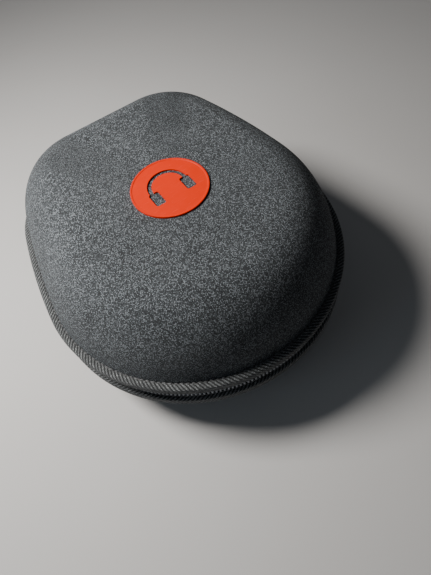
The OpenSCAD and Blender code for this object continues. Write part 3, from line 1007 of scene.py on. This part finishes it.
class CASE_OT_pull_grip(bpy.types.Operator):
    """Moulds the soft grip over the pull tab, with ribs on both faces"""
    bl_idname = "case.pull_grip"
    bl_label = "Pull grip"

    def execute(self, context):
        park, lean, pin_r = math.radians(36), math.radians(10), 52.7
        grip_start, grip_l, half_h, half_t, tab_l = 8.0, 16.0, 4.3, 1.6, 17.0
        grip = block("soft_pull_grip", (grip_l, 2 * half_t, 2 * half_h), (grip_start + grip_l / 2, 0, 0),
                     1.1, 4)
        pocket_l = tab_l - grip_start + 1
        cut(grip, block("pocket", (pocket_l, 1.6, 6.8), (grip_start - 1 + pocket_l / 2, 0, 0), 0))
        groove_start, groove_pitch, grooves = grip_start + 3.6, 2.2, 5
        groove = (0.8, 0.7, 2 * half_h - 2.4)
        for face in (-1, 1):
            for i in range(grooves):
                centre = (groove_start + i * groove_pitch, face * (half_t + 0.05), 0)
                cut(grip, block("groove", groove, centre, 0.25, 2))
        settle(grip)
        pin = CORNER_C + pin_r * heading(park)
        moved = Matrix.Translation((pin.x * MM, pin.y * MM, ZIP_Z * MM))
        grip.data.transform(moved @ Matrix.Rotation(-park - lean, 4, "Z"))
        put_on(grip, material_for("grip_rubber"))
        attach(grip, "pull")
        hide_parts("pull_grip")
        return {"FINISHED"}


# ---- Stage ----


def studio_light(name, place, target, size, power, colour):
    """A soft round lamp at a place, aimed at a target."""
    aim = (Vector(target) - Vector(place)).to_track_quat("-Z", "Y")
    deselect()
    bpy.ops.object.light_add(type="AREA", location=place, rotation=aim.to_euler())
    lamp = bpy.context.active_object
    lamp.name = name
    lamp.data.shape = "DISK"
    lamp.data.size = size
    lamp.data.energy = power
    lamp.data.color = colour


class CASE_OT_stage(bpy.types.Operator):
    """Sets the floor, the soft lights and the camera"""
    bl_idname = "case.stage"
    bl_label = "Stage"

    def execute(self, context):
        scene = context.scene
        deselect()
        bpy.ops.mesh.primitive_plane_add(size=6, location=(0, 0, 0))
        floor = context.active_object
        floor.name = "studio_floor"
        material, n, shader, coordinates = new_material("pale_floor")
        shade = n.noise(coordinates.outputs["Object"], 6.0, 3.0)
        n.feed(shader.inputs["Base Color"], n.mix(shade, (0.5, 0.49, 0.48), (0.55, 0.54, 0.53)))
        shader.inputs["Roughness"].default_value = 0.7
        floor.data.materials.append(material)
        world = bpy.data.worlds.new("studio_air")
        scene.world = world
        world.use_nodes = True
        background = world.node_tree.nodes["Background"]
        background.inputs["Color"].default_value = (0.86, 0.92, 1.0, 1.0)
        background.inputs["Strength"].default_value = 0.07
        studio_light("key_lamp", (-0.19, 0.12, 0.35), (0, 0, 0.05), 0.12, 2.9, (1.0, 0.97, 0.93))
        studio_light("fill_lamp", (-1.1, 0.05, 0.4), (0, 0, 0.04), 0.7, 1.3, (0.72, 0.86, 1.0))
        place = Vector((-0.0542, -0.1490, 0.2379))
        forward = Vector((0.2239, 0.4803, -0.8480)).normalized()
        right = Vector((0.9063, -0.4226, 0.0)).normalized()
        up = right.cross(forward).normalized()
        roll = math.radians(-11.5)
        rolled_right = math.cos(roll) * right + math.sin(roll) * up
        rolled_up = -math.sin(roll) * right + math.cos(roll) * up
        turned = Matrix((rolled_right, rolled_up, -forward)).transposed()
        deselect()
        bpy.ops.object.camera_add(location=place, rotation=turned.to_euler())
        camera = context.active_object
        camera.name = "case_camera"
        camera.data.lens = 27.55
        camera.data.sensor_width = 36.0
        camera.data.clip_start = 0.005
        scene.camera = camera
        return {"FINISHED"}


OPERATORS = (CASE_OT_knit_skins, CASE_OT_linings, CASE_OT_bindings, CASE_OT_zip_tapes, CASE_OT_zip_coils,
             CASE_OT_spine, CASE_OT_emblem, CASE_OT_pocket, CASE_OT_slider, CASE_OT_pull_grip,
             CASE_OT_stage)


class CASE_PT_build(bpy.types.Panel):
    """Lists the case's settings and pieces"""
    bl_idname = "CASE_PT_build"
    bl_label = "Headphone case"
    bl_space_type = "VIEW_3D"
    bl_region_type = "UI"
    bl_category = "Case"

    def draw(self, context):
        for settings in (context.scene.case_look, context.scene.case_sizes):
            for key in settings.__annotations__:
                self.layout.prop(settings, key)
        for operator in OPERATORS:
            self.layout.operator(operator.bl_idname)


CLASSES = (CaseLook, CaseSizes, *OPERATORS, CASE_PT_build)


def register():
    for cls in CLASSES:
        bpy.utils.register_class(cls)
    bpy.types.Scene.case_look = bpy.props.PointerProperty(type=CaseLook)
    bpy.types.Scene.case_sizes = bpy.props.PointerProperty(type=CaseSizes)


def unregister():
    del bpy.types.Scene.case_sizes
    del bpy.types.Scene.case_look
    for cls in reversed(CLASSES):
        bpy.utils.unregister_class(cls)


def main():
    """Builds every piece in order."""
    register()
    bpy.ops.case.knit_skins()
    bpy.ops.case.linings()
    bpy.ops.case.bindings()
    bpy.ops.case.zip_tapes()
    bpy.ops.case.zip_coils()
    bpy.ops.case.spine()
    bpy.ops.case.emblem()
    bpy.ops.case.pocket()
    bpy.ops.case.slider()
    bpy.ops.case.pull_grip()
    bpy.ops.case.stage()


if __name__ == "__main__":
    main()
